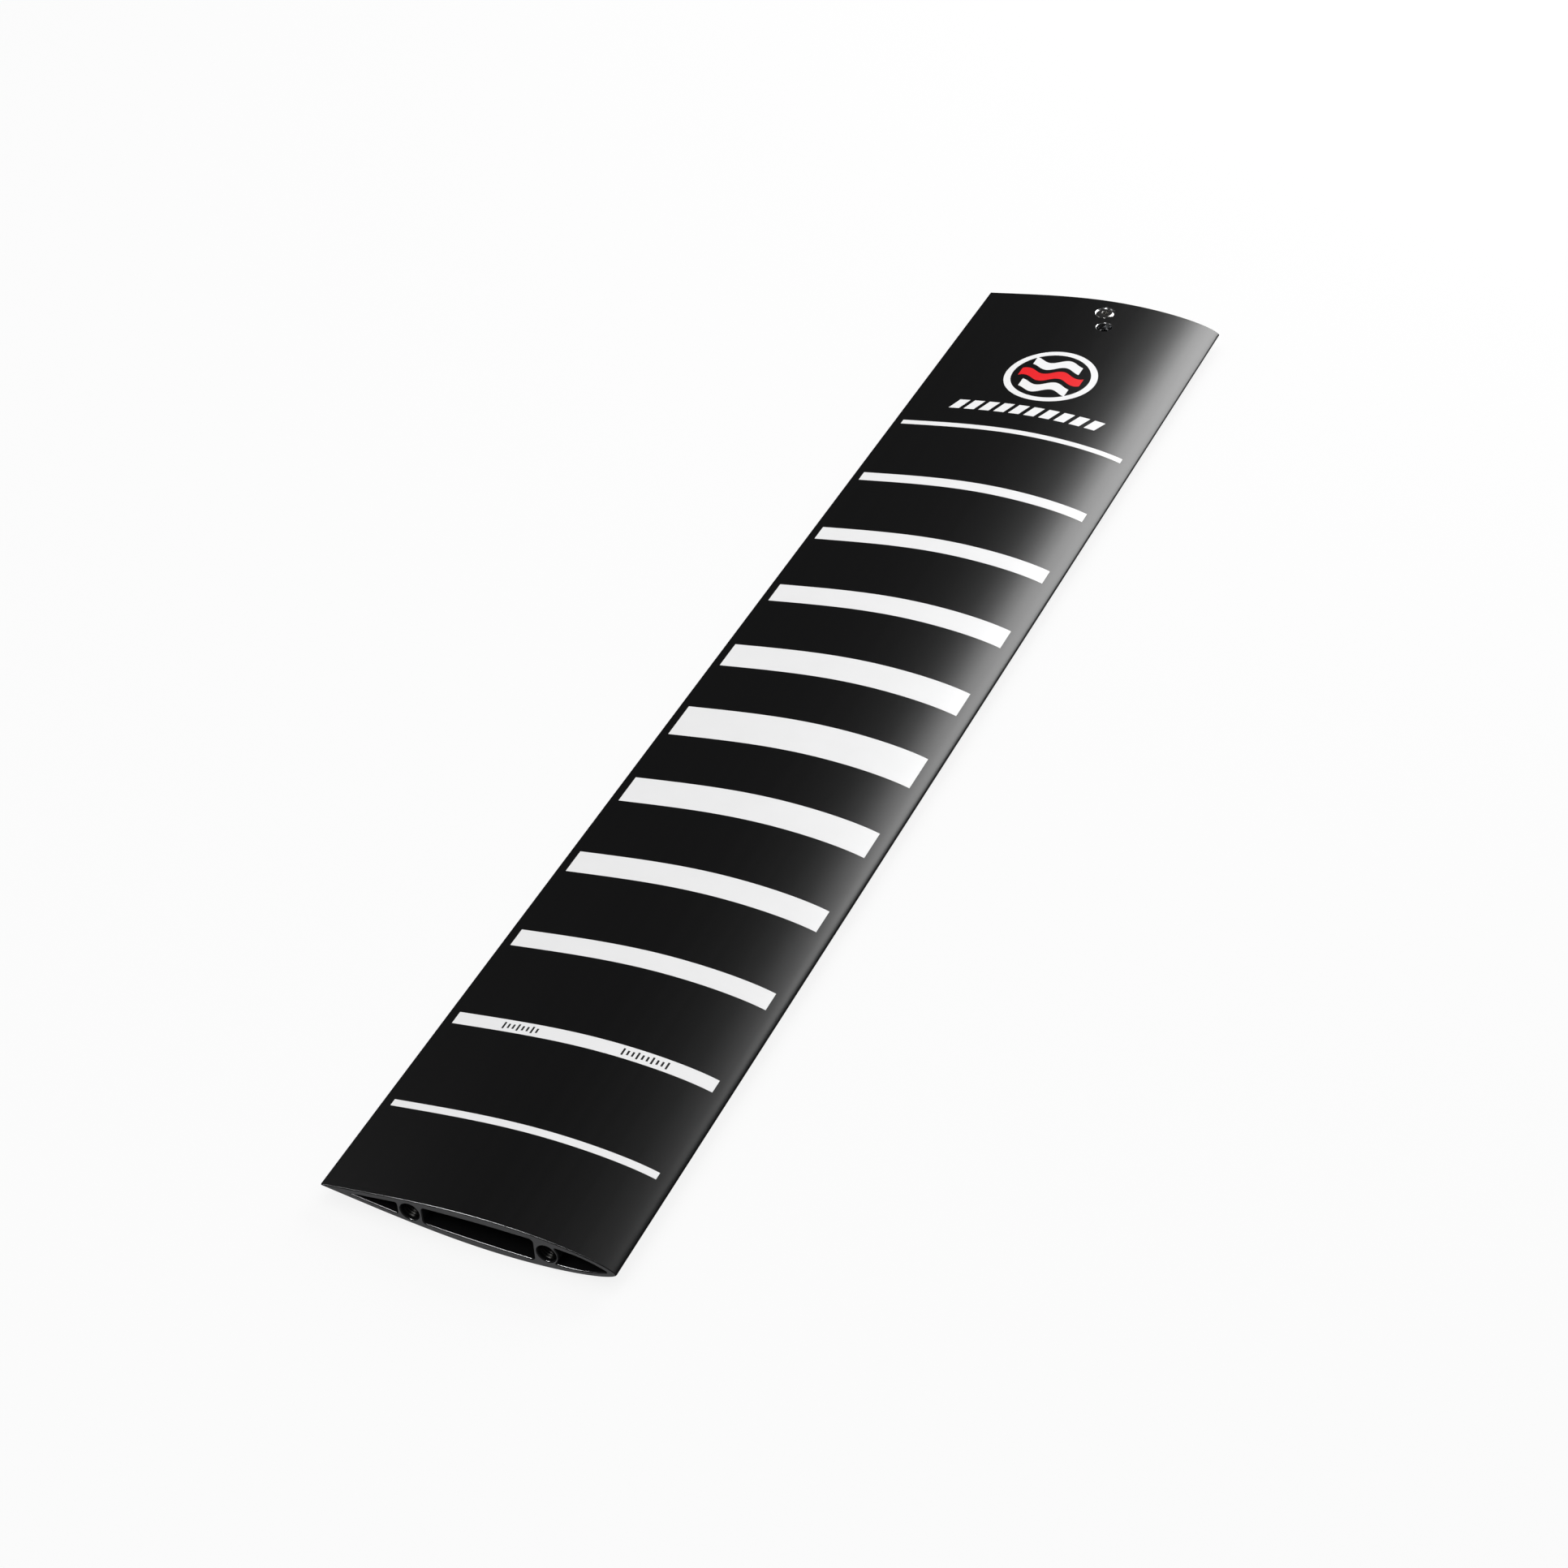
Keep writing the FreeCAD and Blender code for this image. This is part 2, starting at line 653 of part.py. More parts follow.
films = make_films()
mast_extrusion(films)
for film_label, film in films.items():
    finish(film, film_label)
thread_inserts()
head_block()
cross_screw()
set_screw()
check_model()
export_parts()
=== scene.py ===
# %% [markdown]
# # A hollow aluminium hydrofoil mast
#
# A foil mast is one long aluminium extrusion of aerofoil section. It is black anodised, it carries white depth bands
# and a round emblem, and it is screwed to a board plate at one end and to a fuselage at the other. In this lesson it
# lies on its side on a pale studio floor.
#
# The first cell loads the CAD frame. The frame fixes every size and place, so a new piece is made straight in its
# final position, in metres, with its object left at the origin.

import math

import bmesh
import bpy
from mathutils import Matrix, Vector


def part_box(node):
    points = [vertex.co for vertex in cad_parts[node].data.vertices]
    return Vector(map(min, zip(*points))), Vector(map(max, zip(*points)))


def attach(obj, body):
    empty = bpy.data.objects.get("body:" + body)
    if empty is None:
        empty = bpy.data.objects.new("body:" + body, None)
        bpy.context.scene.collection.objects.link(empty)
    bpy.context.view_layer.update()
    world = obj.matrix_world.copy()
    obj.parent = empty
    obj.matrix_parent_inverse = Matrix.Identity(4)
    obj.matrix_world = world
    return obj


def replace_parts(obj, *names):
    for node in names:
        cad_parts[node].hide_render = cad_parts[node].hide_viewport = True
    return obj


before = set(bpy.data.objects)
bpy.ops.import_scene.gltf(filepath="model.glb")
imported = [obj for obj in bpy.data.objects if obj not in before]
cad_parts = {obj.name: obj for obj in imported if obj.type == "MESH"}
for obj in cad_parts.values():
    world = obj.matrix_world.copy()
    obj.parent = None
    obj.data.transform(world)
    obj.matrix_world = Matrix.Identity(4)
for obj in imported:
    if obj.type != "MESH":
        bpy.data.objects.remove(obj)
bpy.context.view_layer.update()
MM = 0.001

# %% [markdown]
# ## The camera
#
# A camera's place can be aimed by eye or set from angles. Angles are clearer here: the camera is turned round the
# upright axis, tipped down, and then rolled a little about its own line of sight. Multiplying the three rotations in
# that order keeps each one readable. The lens is a short telephoto, which keeps the long mast from looking bent.

# %% Camera
LENS_MM = 75.7
TURN_ROUND, TIP_DOWN, ROLL = 26.49, 38.98, -3.64
CAMERA_PLACE = Vector((0.5147, -1.0937, 0.9365))


def turn(degrees, axis):
    return Matrix.Rotation(math.radians(degrees), 4, axis)


camera = bpy.data.objects.new("camera", bpy.data.cameras.new("camera"))
bpy.context.scene.collection.objects.link(camera)
camera.data.lens = LENS_MM
camera.matrix_world = (
    Matrix.Translation(CAMERA_PLACE) @ turn(TURN_ROUND, "Z") @ turn(90 - TIP_DOWN, "X") @ turn(ROLL, "Z")
)
bpy.context.scene.camera = camera
print("camera", LENS_MM, "mm lens")

# %% [markdown]
# ## Helpers for pieces
#
# Every piece ends the same way: the bmesh becomes a mesh, edges sharper than the crisp angle stay sharp, and the
# object rides on the frame's body. One helper does that for all of them, so that a piece's own cell shows only its
# shape. A second helper holds the settings that every bevel here shares.

# %% Finish a piece
def finish_piece(name, bm, finishes, crisp, node=None):
    bmesh.ops.recalc_face_normals(bm, faces=bm.faces)
    mesh = bpy.data.meshes.new(name)
    bm.to_mesh(mesh)
    bm.free()
    for finish in finishes:
        mesh.materials.append(finish)
    mesh.shade_smooth()
    mesh.set_sharp_from_angle(angle=math.radians(crisp))
    piece = bpy.data.objects.new(name, mesh)
    bpy.context.scene.collection.objects.link(piece)
    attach(piece, "root")
    if node:
        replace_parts(piece, node)
    print(name, len(mesh.polygons), "faces")
    return piece


def bevelled(bm, geom, offset, segments, affect="EDGES"):
    bmesh.ops.bevel(
        bm, geom=geom, offset=offset, offset_type="OFFSET", segments=segments, profile=0.5,
        affect=affect, material=-1, clamp_overlap=True,
    )


# %% [markdown]
# ## The studio
#
# A black object shows mostly what it reflects, so each light is placed for its reflection. A soft sun from straight
# above gives the floor and the white bands their even level; glossy rays don't see it, because a sheet of light over
# the whole skin would turn it grey. The floor glows by itself, so that the shadow stays faint, and it is hidden from
# glossy rays too, as if dark flags stood round the object.

# %% Floor
FLOOR_SIZE = 120.0
FLOOR_GREY = 0.10
FLOOR_GLOW = 0.865
scene = bpy.context.scene
scene.view_settings.view_transform = "Standard"


def principled(name, colour, roughness, metallic=0.0):
    material = bpy.data.materials.new(name)
    material.use_nodes = True
    shader = material.node_tree.nodes["Principled BSDF"]
    shader.inputs["Base Color"].default_value = (*colour, 1)
    shader.inputs["Roughness"].default_value = roughness
    shader.inputs["Metallic"].default_value = metallic
    return material, shader


floor_paint, floor_shader = principled("pale_floor", (FLOOR_GREY, FLOOR_GREY, FLOOR_GREY), 0.9)
floor_shader.inputs["Specular IOR Level"].default_value = 0.0
floor_shader.inputs["Emission Color"].default_value = (1, 1, 1, 1)
floor_shader.inputs["Emission Strength"].default_value = FLOOR_GLOW

bm = bmesh.new()
bmesh.ops.create_grid(bm, x_segments=1, y_segments=1, size=FLOOR_SIZE / 2)
floor_mesh = bpy.data.meshes.new("floor")
bm.to_mesh(floor_mesh)
bm.free()
floor_mesh.materials.append(floor_paint)
floor = bpy.data.objects.new("floor", floor_mesh)
scene.collection.objects.link(floor)
floor.visible_glossy = False

# %% [markdown]
# ## The lights
#
# Four boxes do the work beside the sun. The large one beyond the head end and to the nose side makes the broad
# gradient that brightens towards the nose: only the forward part of the skin is tilted enough to mirror it, and less
# and less of it towards the open end. A small box overhead puts glints on the screws. A weak fill keeps the tail edge
# readable, and a strip that lies across the mast draws a fine line along the edges of the cut end.

# %% Lights
SUN_ENERGY, SUN_ANGLE = 1.8, 70


def area_light(name, place, aim, size, radiance):
    """A rectangular soft box; its power follows from the radiance that its surface should show."""
    light = bpy.data.objects.new(name, bpy.data.lights.new(name, "AREA"))
    light.data.shape = "RECTANGLE"
    light.data.size, light.data.size_y = size
    light.data.energy = radiance * math.pi * size[0] * size[1]
    light.location = place
    light.rotation_euler = (Vector(aim) - Vector(place)).to_track_quat("-Z", "Y").to_euler()
    scene.collection.objects.link(light)
    print(name, round(light.data.energy, 2), "W")
    return light


sun = bpy.data.objects.new("soft_sun", bpy.data.lights.new("soft_sun", "SUN"))
sun.data.energy = SUN_ENERGY
sun.data.angle = math.radians(SUN_ANGLE)
sun.visible_glossy = False
scene.collection.objects.link(sun)

area_light("nose_side_box", (0.47, 1.60, 0.94), (0.03, 0.10, 0.0), (1.05, 1.12), 7.3)
area_light("overhead_box", (0.0, -0.10, 1.3), (0.0, -0.10, 0.0), (0.3, 0.3), 5.0)
area_light("tail_side_fill", (-1.3, 0.2, 0.8), (0.0, -0.2, 0.0), (0.5, 1.2), 0.8)
area_light("open_end_strip", (-0.47, -1.06, 1.02), (0.0, -0.36, 0.0), (0.95, 0.18), 4.2)

# %% [markdown]
# ## The room
#
# Behind the lights the room is nearly dark, or it would turn the black skin grey. Seen directly, past the far edge of
# the floor, it should look like the same pale sweep, so the background is bright for camera rays alone.

# %% Room
ROOM_GLOW, ROOM_SEEN = 0.036, 0.922
world = bpy.data.worlds.new("studio")
world.use_nodes = True
room = world.node_tree
rays = room.nodes.new("ShaderNodeLightPath")
level = room.nodes.new("ShaderNodeMapRange")
level.inputs["To Min"].default_value = ROOM_GLOW
level.inputs["To Max"].default_value = ROOM_SEEN
room.nodes["Background"].inputs["Color"].default_value = (1, 1, 1, 1)
room.links.new(rays.outputs["Is Camera Ray"], level.inputs["Value"])
room.links.new(level.outputs["Result"], room.nodes["Background"].inputs["Strength"])
scene.world = world

# %% [markdown]
# ## Shared surface effects
#
# Machined and anodised aluminium has three fine marks: faint lines that the die leaves along the whole length, arcs
# that a face mill leaves across a cut end, and an even microscopic grain. Several finishes use them, so each is a node
# group, built once with named inputs and one output. A plain noise makes the grain, the same noise drawn out along
# the length makes the lines, and a ring wave about a point outside the piece makes the arcs.

# %% Effect groups
def node(tree, kind, **settings):
    made = tree.nodes.new(kind)
    for key, value in settings.items():
        setattr(made, key, value)
    return made


def effect_group(name, **inputs):
    """An empty shader group with float inputs, given as name=default, and one float output, Value."""
    group = bpy.data.node_groups.new(name, "ShaderNodeTree")
    for label, default in inputs.items():
        group.interface.new_socket(label, in_out="INPUT", socket_type="NodeSocketFloat").default_value = default
    group.interface.new_socket("Value", in_out="OUTPUT", socket_type="NodeSocketFloat")
    return group, group.nodes.new("NodeGroupInput"), group.nodes.new("NodeGroupOutput")


def placed(group, setting, amount):
    """Object coordinates, moved or scaled by one setting of a Mapping node."""
    place = node(group, "ShaderNodeTexCoord")
    mapping = node(group, "ShaderNodeMapping")
    mapping.inputs[setting].default_value = amount
    group.links.new(place.outputs["Object"], mapping.inputs["Vector"])
    return mapping.outputs["Vector"]


def noise_group(name, stretch, detail):
    """A noise spread over Low to High; stretch scales the coordinates, so a small number draws it out."""
    group, given, result = effect_group(name, Scale=1000.0, Low=0.0, High=1.0)
    noise = node(group, "ShaderNodeTexNoise", noise_dimensions="3D")
    noise.inputs["Detail"].default_value = detail
    spread = node(group, "ShaderNodeMapRange")
    group.links.new(placed(group, "Scale", stretch), noise.inputs["Vector"])
    group.links.new(given.outputs["Scale"], noise.inputs["Scale"])
    group.links.new(noise.outputs["Fac"], spread.inputs["Value"])
    group.links.new(given.outputs["Low"], spread.inputs["To Min"])
    group.links.new(given.outputs["High"], spread.inputs["To Max"])
    group.links.new(spread.outputs["Result"], result.inputs["Value"])
    return group


def ring_group(name, centre, distortion):
    """Rings about the Y axis through minus centre."""
    group, given, result = effect_group(name, Scale=300.0)
    rings = node(group, "ShaderNodeTexWave", wave_type="RINGS", rings_direction="Y")
    rings.inputs["Distortion"].default_value = distortion
    group.links.new(placed(group, "Location", centre), rings.inputs["Vector"])
    group.links.new(given.outputs["Scale"], rings.inputs["Scale"])
    group.links.new(rings.outputs["Fac"], result.inputs["Value"])
    return group


DIE_LINES = noise_group("die_lines", (1.0, 0.004, 1.0), 3.0)
FINE_GRAIN = noise_group("fine_grain", (1.0, 1.0, 1.0), 2.0)
MILL_ARCS = ring_group("mill_arcs", (0.03, 0.0, 0.05), 0.6)

# %% [markdown]
# A finish uses an effect in one of two ways. It can vary the sheen, by driving the roughness between a low and a high
# value, or it can raise the surface slightly, through a Bump node whose distance is a real depth.

# %% Ways to use an effect
def use_group(material, group, **values):
    made = node(material.node_tree, "ShaderNodeGroup", node_tree=group)
    for label, value in values.items():
        made.inputs[label].default_value = value
    return made.outputs["Value"]


def vary_sheen(material, shader, group, scale, low, high):
    effect = use_group(material, group, Scale=scale, Low=low, High=high)
    material.node_tree.links.new(effect, shader.inputs["Roughness"])


def raise_relief(material, shader, group, scale, depth):
    relief = node(material.node_tree, "ShaderNodeBump")
    relief.inputs["Strength"].default_value = 1.0
    relief.inputs["Distance"].default_value = depth
    material.node_tree.links.new(use_group(material, group, Scale=scale), relief.inputs["Height"])
    material.node_tree.links.new(relief.outputs["Normal"], shader.inputs["Normal"])


# %% [markdown]
# ## Finishes of the extrusion
#
# The skin is hard anodised: almost black, with a soft sheen that comes from its fine grain. The die lines change the
# sheen slightly across the chord and not along the length. The two cut ends were milled before anodising, which
# leaves a rougher, greyer face. The hollow cells have the same skin but see hardly any light. Bare bright metal shows
# where a later tool cut through the black layer: in the drilled holes, and as a thread of metal along the cut edges.

# %% Skin, cut ends, cells and bare metal
MICRON = 0.001 * MM


def anodised_skin():
    material, shader = principled("anodised_skin", (0.0030, 0.0030, 0.0032), 0.30)
    vary_sheen(material, shader, DIE_LINES, 420.0, 0.28, 0.335)
    raise_relief(material, shader, FINE_GRAIN, 3500.0, 4 * MICRON)
    return material


def milled_end():
    material, shader = principled("milled_end", (0.10, 0.101, 0.104), 0.45, 0.2)
    vary_sheen(material, shader, FINE_GRAIN, 900.0, 0.42, 0.58)
    raise_relief(material, shader, MILL_ARCS, 420.0, 6 * MICRON)
    return material


def cell_wall():
    material, shader = principled("cell_wall", (0.006, 0.006, 0.0065), 0.5)
    raise_relief(material, shader, DIE_LINES, 300.0, 20 * MICRON)
    return material


def bare_edge():
    material, shader = principled("bare_drilled_edge", (0.70, 0.71, 0.72), 0.2, 1.0)
    vary_sheen(material, shader, FINE_GRAIN, 2500.0, 0.14, 0.26)
    raise_relief(material, shader, FINE_GRAIN, 7000.0, 3 * MICRON)
    return material


MAST_FINISHES = (anodised_skin(), milled_end(), cell_wall(), bare_edge())
SKIN_SLOT, MILLED_SLOT, CELL_SLOT, BARE_SLOT = range(len(MAST_FINISHES))

# %% [markdown]
# ## The section
#
# The section is symmetric, so one function that gives half the thickness is enough. Behind the crest it is a cubic
# that leaves the thin tail at a slope and arrives level at the crest. Ahead of the crest it is a squashed ellipse: its
# power is a little above one, which makes the nose finer than a true ellipse's. The chord and the thickness come
# from the CAD box.

# %% Section values
LOW, HIGH = (Vector(corner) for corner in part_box("mast_extrusion"))
CHORD = HIGH.x - LOW.x
THICKNESS = HIGH.z - LOW.z
CHORD_PLANE = (HIGH.z + LOW.z) / 2
CREST_FROM_NOSE = 53.3 * MM
CREST_X = CHORD - CREST_FROM_NOSE
TAIL_THICKNESS = 0.8 * MM
TAIL_RISE, NOSE_POWER = 1.4, 1.24
SKIN_SETBACK = 0.05 * MM
TAIL_STEPS, NOSE_STEPS = 26, 34


def half_thickness(x):
    """Half the section's thickness at x metres ahead of the tail."""
    if x > CREST_X:
        share = min((x - CREST_X) / CREST_FROM_NOSE, 1)
        return THICKNESS / 2 * (1 - share ** 2) ** (NOSE_POWER / 2)
    share = x / CREST_X
    cubic = TAIL_RISE * share + (3 - 2 * TAIL_RISE) * share ** 2 + (TAIL_RISE - 2) * share ** 3
    return TAIL_THICKNESS / 2 + (THICKNESS / 2 - TAIL_THICKNESS / 2) * cubic


def section_stations():
    """Places along the chord, closer together where the nose turns."""
    tail = [CREST_X * step / TAIL_STEPS for step in range(TAIL_STEPS)]
    angles = [math.pi / 2 * step / NOSE_STEPS for step in range(NOSE_STEPS + 1)]
    return tail + [CREST_X + CREST_FROM_NOSE * math.sin(angle) for angle in angles]


print("chord", round(CHORD / MM, 1), "thickness", round(THICKNESS / MM, 2), "mm")

# %% [markdown]
# ## The extrusion
#
# An extrusion is made in Blender as it is made in the works: draw the section once and pull it along its length. The
# outer line and the five hollows are closed loops of edges. `triangle_fill` fills the metal between them, and one
# `extrude_face_region` gives the walls and the far end together. The cells start as simple polygons whose corners are
# rounded by a vertex bevel, which is quicker to adjust than a drawn arc.

# %% Section loops
PORT_X = (40.0 * MM, 100.0 * MM)
PORT_RADIUS = 4.2 * MM
PORT_STEPS, CORNER_STEPS = 56, 7
CELLS = (
    # corners on and above the chord plane as (x, half height, rounding), in millimetres: tail, main and nose cell
    ((13.4, 0, 0.6), (34.4, 3.0, 1.0)),
    ((45.6, 4.2, 1.6), (70.0, 5.4, 12.0), (94.4, 5.5, 1.6)),
    ((106.1, 0, 3.4), (103.5, 4.5, 0.8), (117.0, 3.6, 6.0), (126.4, 0, 1.2)),
)


def at(x, z):
    """A point of the section at the open end, from chord coordinates in metres."""
    return Vector((LOW.x + x, LOW.y, CHORD_PLANE + z))


def outer_points():
    """The skin's outline, set back by a hair so that the films stand in front of it."""
    upper = [(x, max(half_thickness(x) - SKIN_SETBACK, 0)) for x in section_stations()]
    lower = [(x, -z) for x, z in reversed(upper[:-1])]
    return [at(x, z) for x, z in upper + lower]


def cell_points(upper):
    """A hollow symmetric about the chord plane, with each corner rounded by a vertex bevel."""
    mirrored = [(x, -z, rounding) for x, z, rounding in reversed(upper) if z > 0]
    corners = [*upper, *mirrored]
    scratch = bmesh.new()
    verts = [scratch.verts.new(at(x * MM, z * MM)) for x, z, rounding in corners]
    scratch.faces.new(verts)
    for vert, (x, z, rounding) in zip(verts, corners):
        bevelled(scratch, [vert], rounding * MM, CORNER_STEPS, "VERTICES")
    points = [vert.co.copy() for vert in next(iter(scratch.faces)).verts]
    scratch.free()
    return points


def port_points(x):
    scratch = bmesh.new()
    bmesh.ops.create_circle(
        scratch, segments=PORT_STEPS, radius=PORT_RADIUS, cap_ends=False,
        matrix=Matrix.Translation(at(x, 0)) @ turn(90, "X"),
    )
    points = [vert.co.copy() for vert in scratch.verts]
    scratch.free()
    return points


def closed_loop(bm, points):
    verts = [bm.verts.new(point) for point in points]
    for i in range(len(verts)):
        bm.edges.new((verts[i - 1], verts[i]))
    return verts


# %% Pull the section along its length
LENGTH = HIGH.y - LOW.y
EDGE_BREAK = (
    # (width, depth, slot) of each slope, from the wall towards the end face
    (0.045 * MM, 0.065 * MM, BARE_SLOT),
    (0.30 * MM, 0.19 * MM, SKIN_SLOT),
)
BREAK_DEPTH = sum(depth for width, depth, slot in EDGE_BREAK)
FACING_END = 0.99


def fill_section(bm):
    """Fills the metal between the outer line and the five hollows; returns a layer that flags the outer verts."""
    flag = bm.verts.layers.int.new("outside")
    for vert in closed_loop(bm, outer_points()):
        vert[flag] = 1
    for upper in CELLS:
        closed_loop(bm, cell_points(upper))
    for x in PORT_X:
        closed_loop(bm, port_points(x))
    bmesh.ops.triangle_fill(bm, edges=list(bm.edges), use_beauty=True, normal=(0, -1, 0))
    return flag


def pull(bm):
    """Extrudes the section, short of both ends by the depth of the broken edge."""
    pulled = bmesh.ops.extrude_face_region(bm, geom=list(bm.faces), use_keep_orig=True)["geom"]
    far = {item for item in pulled if isinstance(item, bmesh.types.BMVert)}
    near = [vert for vert in bm.verts if vert not in far]
    bmesh.ops.translate(bm, vec=(0, LENGTH - BREAK_DEPTH, 0), verts=list(far))
    bmesh.ops.translate(bm, vec=(0, BREAK_DEPTH, 0), verts=near)
    bmesh.ops.recalc_face_normals(bm, faces=bm.faces)


def end_faces(bm):
    return [face for face in bm.faces if abs(face.normal.y) > FACING_END]


def long_edges(bm):
    return [edge for edge in bm.edges if abs(edge.verts[0].co.y - edge.verts[1].co.y) > LENGTH / 2]


# %% [markdown]
# The cut ends are deburred, outside and inside the hollows alike. Insetting both end faces while pushing them outwards
# leaves a small slope round every edge at once. It is done twice: the first slope is a thin ring where the deburring
# wore through to bare metal, which draws a fine light line along every edge, and the second keeps the black finish.

# %% Break the edges of both ends
LENGTH_CUTS = 24
MAST_CRISP = 20


def make_mast():
    bm = bmesh.new()
    flag = fill_section(bm)
    pull(bm)
    caps = set(end_faces(bm))
    for face in bm.faces:
        if face not in caps and not all(vert[flag] for vert in face.verts):
            face.material_index = CELL_SLOT
    for width, depth, slot in EDGE_BREAK:
        slope = bmesh.ops.inset_region(
            bm, faces=end_faces(bm), thickness=width, depth=depth, use_even_offset=True,
        )["faces"]
        for face in slope:
            face.material_index = slot
    for face in end_faces(bm):
        face.material_index = MILLED_SLOT
    bmesh.ops.subdivide_edges(bm, edges=long_edges(bm), cuts=LENGTH_CUTS)
    return finish_piece("mast_body", bm, MAST_FINISHES, MAST_CRISP, "mast_extrusion")


mast = make_mast()

# %% [markdown]
# ## Drilled holes
#
# Two holes go through the upper skin at the head end: a countersunk one for the cross screw and a plain one for the
# set screw. A drill is a shape of revolution, so the cutter is one half profile spun round, and a Boolean takes it
# away from the mast. The cutter is thrown away afterwards. Each mouth flares a little, as a deburred hole does.

# %% Drill helpers
DRILL_STEPS = 64


def spun(profile, foot, steps):
    """A closed shape of revolution about the upright axis through foot, from (radius, height) pairs."""
    bm = bmesh.new()
    verts = [bm.verts.new(foot + Vector((radius, 0, height))) for radius, height in profile]
    edges = [bm.edges.new(pair) for pair in zip(verts, verts[1:])]
    bmesh.ops.spin(
        bm, geom=verts + edges, cent=foot, axis=(0, 0, 1), angle=2 * math.pi, steps=steps, use_merge=True,
    )
    bmesh.ops.remove_doubles(bm, verts=bm.verts, dist=0.1 * MICRON)
    bmesh.ops.recalc_face_normals(bm, faces=bm.faces)
    return bm


def drill(piece, profile, foot, slot):
    """Takes a spun profile away from a piece; the hole's wall gets the finish in the given slot."""
    bm = spun(profile, foot, DRILL_STEPS)
    for face in bm.faces:
        face.material_index = slot
    cutter = bpy.data.objects.new("drill", bpy.data.meshes.new("drill"))
    bm.to_mesh(cutter.data)
    bm.free()
    for finish in piece.data.materials:
        cutter.data.materials.append(finish)
    scene.collection.objects.link(cutter)
    cut = piece.modifiers.new("hole", "BOOLEAN")
    cut.operation, cut.solver, cut.object = "DIFFERENCE", "EXACT", cutter
    before = len(piece.data.polygons)
    shape = bpy.data.meshes.new_from_object(piece.evaluated_get(bpy.context.evaluated_depsgraph_get()))
    piece.modifiers.clear()
    piece.data = shape
    shape.set_sharp_from_angle(angle=math.radians(MAST_CRISP))
    bpy.data.objects.remove(cutter)
    print("drilled", before, "->", len(shape.polygons), "faces")


def skin_top(x):
    """Height of the upper skin above the floor at x in the frame."""
    return CHORD_PLANE + half_thickness(x - LOW.x) - SKIN_SETBACK


def screw_place(name):
    """The foot of a screw's axis on the floor, and its box: radius, bottom and top."""
    low, high = (Vector(corner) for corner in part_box(name))
    middle = (low + high) / 2
    return Vector((middle.x, middle.y, 0)), (high.x - low.x) / 2, low.z, high.z


# %% Drill both holes
CROSS_FOOT, HEAD_RADIUS, CROSS_BOTTOM, _ = screw_place("cross_screw")
SET_FOOT, SET_RADIUS, SET_BOTTOM, SET_TOP = screw_place("set_screw")
SHANK_RADIUS = 2.5 * MM
SINK_DEPTH = HEAD_RADIUS - SHANK_RADIUS
SINK_RADIUS = HEAD_RADIUS + 0.15 * MM
SHANK_HOLE = SHANK_RADIUS + 0.2 * MM
SET_HOLE = SET_RADIUS + 0.1 * MM
FLARE_WIDTH, FLARE_DEPTH = 0.45 * MM, 0.24 * MM
FLARE_TURN = 0.1 * MM
ABOVE = 2.0 * MM

cross_skin, set_skin = skin_top(CROSS_FOOT.x), skin_top(SET_FOOT.x)
drill(mast, (
    (0, CHORD_PLANE), (SHANK_HOLE, CHORD_PLANE), (SHANK_HOLE, cross_skin - SINK_DEPTH),
    (SINK_RADIUS, cross_skin - FLARE_DEPTH), (SINK_RADIUS + FLARE_WIDTH, cross_skin),
    (SINK_RADIUS + FLARE_WIDTH, cross_skin + ABOVE), (0, cross_skin + ABOVE),
), CROSS_FOOT, BARE_SLOT)
drill(mast, (
    (0, CHORD_PLANE), (SET_HOLE, CHORD_PLANE), (SET_HOLE, set_skin - 2 * FLARE_DEPTH),
    (SET_HOLE + FLARE_TURN, set_skin - FLARE_DEPTH), (SET_HOLE + FLARE_WIDTH, set_skin),
    (SET_HOLE + FLARE_WIDTH, set_skin + ABOVE), (0, set_skin + ABOVE),
), SET_FOOT, BARE_SLOT)

# %% [markdown]
# ## The screws
#
# Both screws are turned parts with a hexagon socket, so both come from the same steps: a half profile with thread
# grooves is spun round, the open top is filled round a hexagon, and the hexagon is pushed down as the socket. A small
# bevel on the rims catches the light, which is what makes a screw this small read as metal.

# %% Steel finishes
def steel(name, colour, low, high, depth):
    material, shader = principled(name, colour, low, 1.0)
    vary_sheen(material, shader, FINE_GRAIN, 1800.0, low, high)
    raise_relief(material, shader, FINE_GRAIN, 6000.0, depth)
    return material


STAINLESS = steel("stainless_steel", (0.66, 0.65, 0.63), 0.09, 0.17, 2 * MICRON)
BLACK_OXIDE = steel("black_oxide_steel", (0.20, 0.20, 0.205), 0.16, 0.28, 3 * MICRON)
# The coil wire is really stainless steel; this colour is painted far darker, as painted shade for the inside of the
# ports.
SHADE_DARKENED_WIRE = steel("wire_darkened_as_port_shade", (0.065, 0.064, 0.062), 0.24, 0.38, 3 * MICRON)


# %% Socket screw helpers
ROUND_STEPS = 48
SCREW_CRISP = 35
SOCKET_DRILL_POINT = 0.2
SOCKET_EDGE = 0.18 * MM


def thread_profile(radius, depth, pitch, low, high):
    """Grooves of a coarse V thread as (radius, height) pairs, from low to high."""
    turns = int((high - low) / pitch)
    pairs = []
    for turn_number in range(turns):
        base = low + turn_number * pitch
        pairs += [(radius, base), (radius, base + 0.2 * pitch), (radius - depth, base + 0.6 * pitch)]
    return pairs + [(radius, low + turns * pitch)]


def rim_profile(radius, top, steps):
    """A rounded rim as (radius, height) pairs, from millimetres in from the radius and down from the top."""
    return [(radius - inward * MM, top - down * MM) for inward, down in steps]


